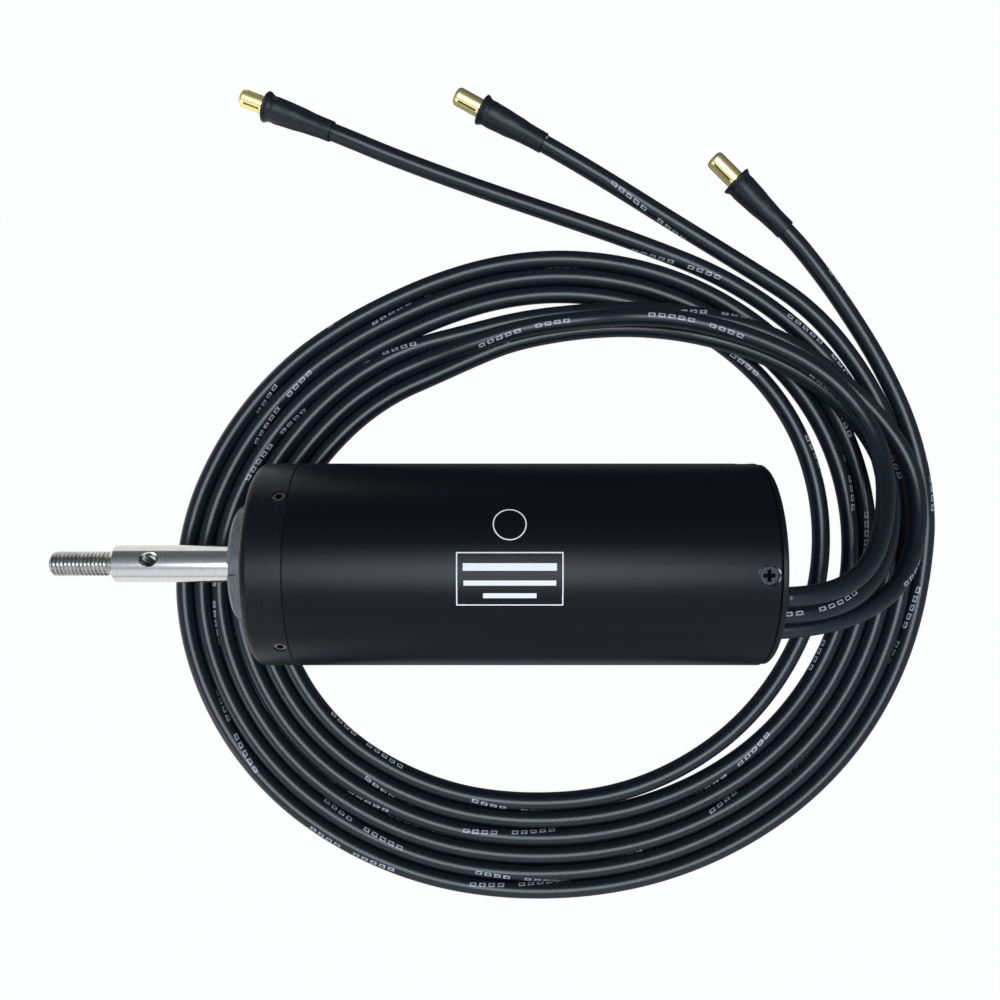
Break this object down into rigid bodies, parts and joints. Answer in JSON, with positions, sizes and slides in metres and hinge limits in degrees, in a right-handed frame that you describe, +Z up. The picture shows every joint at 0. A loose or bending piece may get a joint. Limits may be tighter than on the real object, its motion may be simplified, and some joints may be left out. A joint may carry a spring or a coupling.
{
  "type": "underwater drive motor",
  "caption": "Sealed cylindrical underwater motor with a steel output shaft threaded at its tip, and coiled silicone phase cables that end in bullet plugs.",
  "frame": {"origin": "on the ground, under the middle of the motor's own length, with the motor lying on its side", "axes": "-X out along the output shaft, +Z up, +Y to the side towards which the cables' ends lie"},
  "size_m": [0.2996, 0.2881, 0.065],
  "materials": {
    "black_anodised": "satin anodised",
    "stainless_steel": "ground",
    "bearing_steel": "polished",
    "screw_steel": "plain",
    "black_rubber": "matt",
    "cable_silicone": "satin",
    "sleeve_black": "matt",
    "gold_plate": "polished",
    "tinned_copper": "tinned",
    "copper_wire": "enamelled",
    "laminated_steel": "plain",
    "magnet_nickel": "plated",
    "white_polymer": "matt",
    "glass_board": "matt"
  },
  "bodies": {
    "housing": {"casing_tube": "black_anodised", "front_cap": "black_anodised", "rear_cap": "black_anodised", "seal_carrier": "black_anodised", "front_cap_o_ring": "black_rubber", "carrier_o_ring": "black_rubber", "rear_cap_o_ring": "black_rubber", "outer_shaft_seal": "black_rubber", "inner_shaft_seal": "black_rubber", "grub_screws": "screw_steel", "rear_screws": "screw_steel", "cable_grommets": "black_rubber", "phase_leads": "cable_silicone", "phase_terminals": "tinned_copper", "terminal_ring": "glass_board", "stator_core": "laminated_steel", "end_insulators": "white_polymer", "windings": "copper_wire", "preload_spring": "screw_steel", "front_outer_race": "bearing_steel", "rear_outer_race": "bearing_steel", "cable_coil": "cable_silicone", "upper_cable_lead": "cable_silicone", "upper_cable_tail": "cable_silicone", "upper_heat_shrink": "sleeve_black", "upper_bullet_plug": "gold_plate", "middle_cable_lead": "cable_silicone", "middle_cable_tail": "cable_silicone", "middle_heat_shrink": "sleeve_black", "middle_bullet_plug": "gold_plate", "lower_cable_lead": "cable_silicone", "lower_cable_tail": "cable_silicone", "lower_heat_shrink": "sleeve_black", "lower_bullet_plug": "gold_plate"},
    "rotor": {"shaft": "stainless_steel", "shaft_circlip": "screw_steel", "rotor_spacers": "black_anodised", "rotor_core": "laminated_steel", "magnets": "magnet_nickel", "rotor_sleeve": "sleeve_black", "front_inner_race": "bearing_steel", "rear_inner_race": "bearing_steel"},
    "front_ball_cage": {"front_balls": "bearing_steel", "front_cage": "white_polymer"},
    "rear_ball_cage": {"rear_balls": "bearing_steel", "rear_cage": "white_polymer"}
  },
  "joints": [
    {"name": "rotor_spin", "type": "hinge", "parent": "housing", "child": "rotor", "pos_m": [0, 0, 0.0325], "axis": [1, 0, 0], "continuous": true},
    {"name": "front_cage_spin", "type": "hinge", "parent": "housing", "child": "front_ball_cage", "pos_m": [0, 0, 0.0325], "axis": [1, 0, 0], "continuous": true},
    {"name": "rear_cage_spin", "type": "hinge", "parent": "housing", "child": "rear_ball_cage", "pos_m": [0, 0, 0.0325], "axis": [1, 0, 0], "continuous": true}
  ],
  "couplings": [
    {"joint": "front_cage_spin", "follows": "rotor_spin", "ratio": 0.3839},
    {"joint": "rear_cage_spin", "follows": "rotor_spin", "ratio": 0.3678}
  ]
}
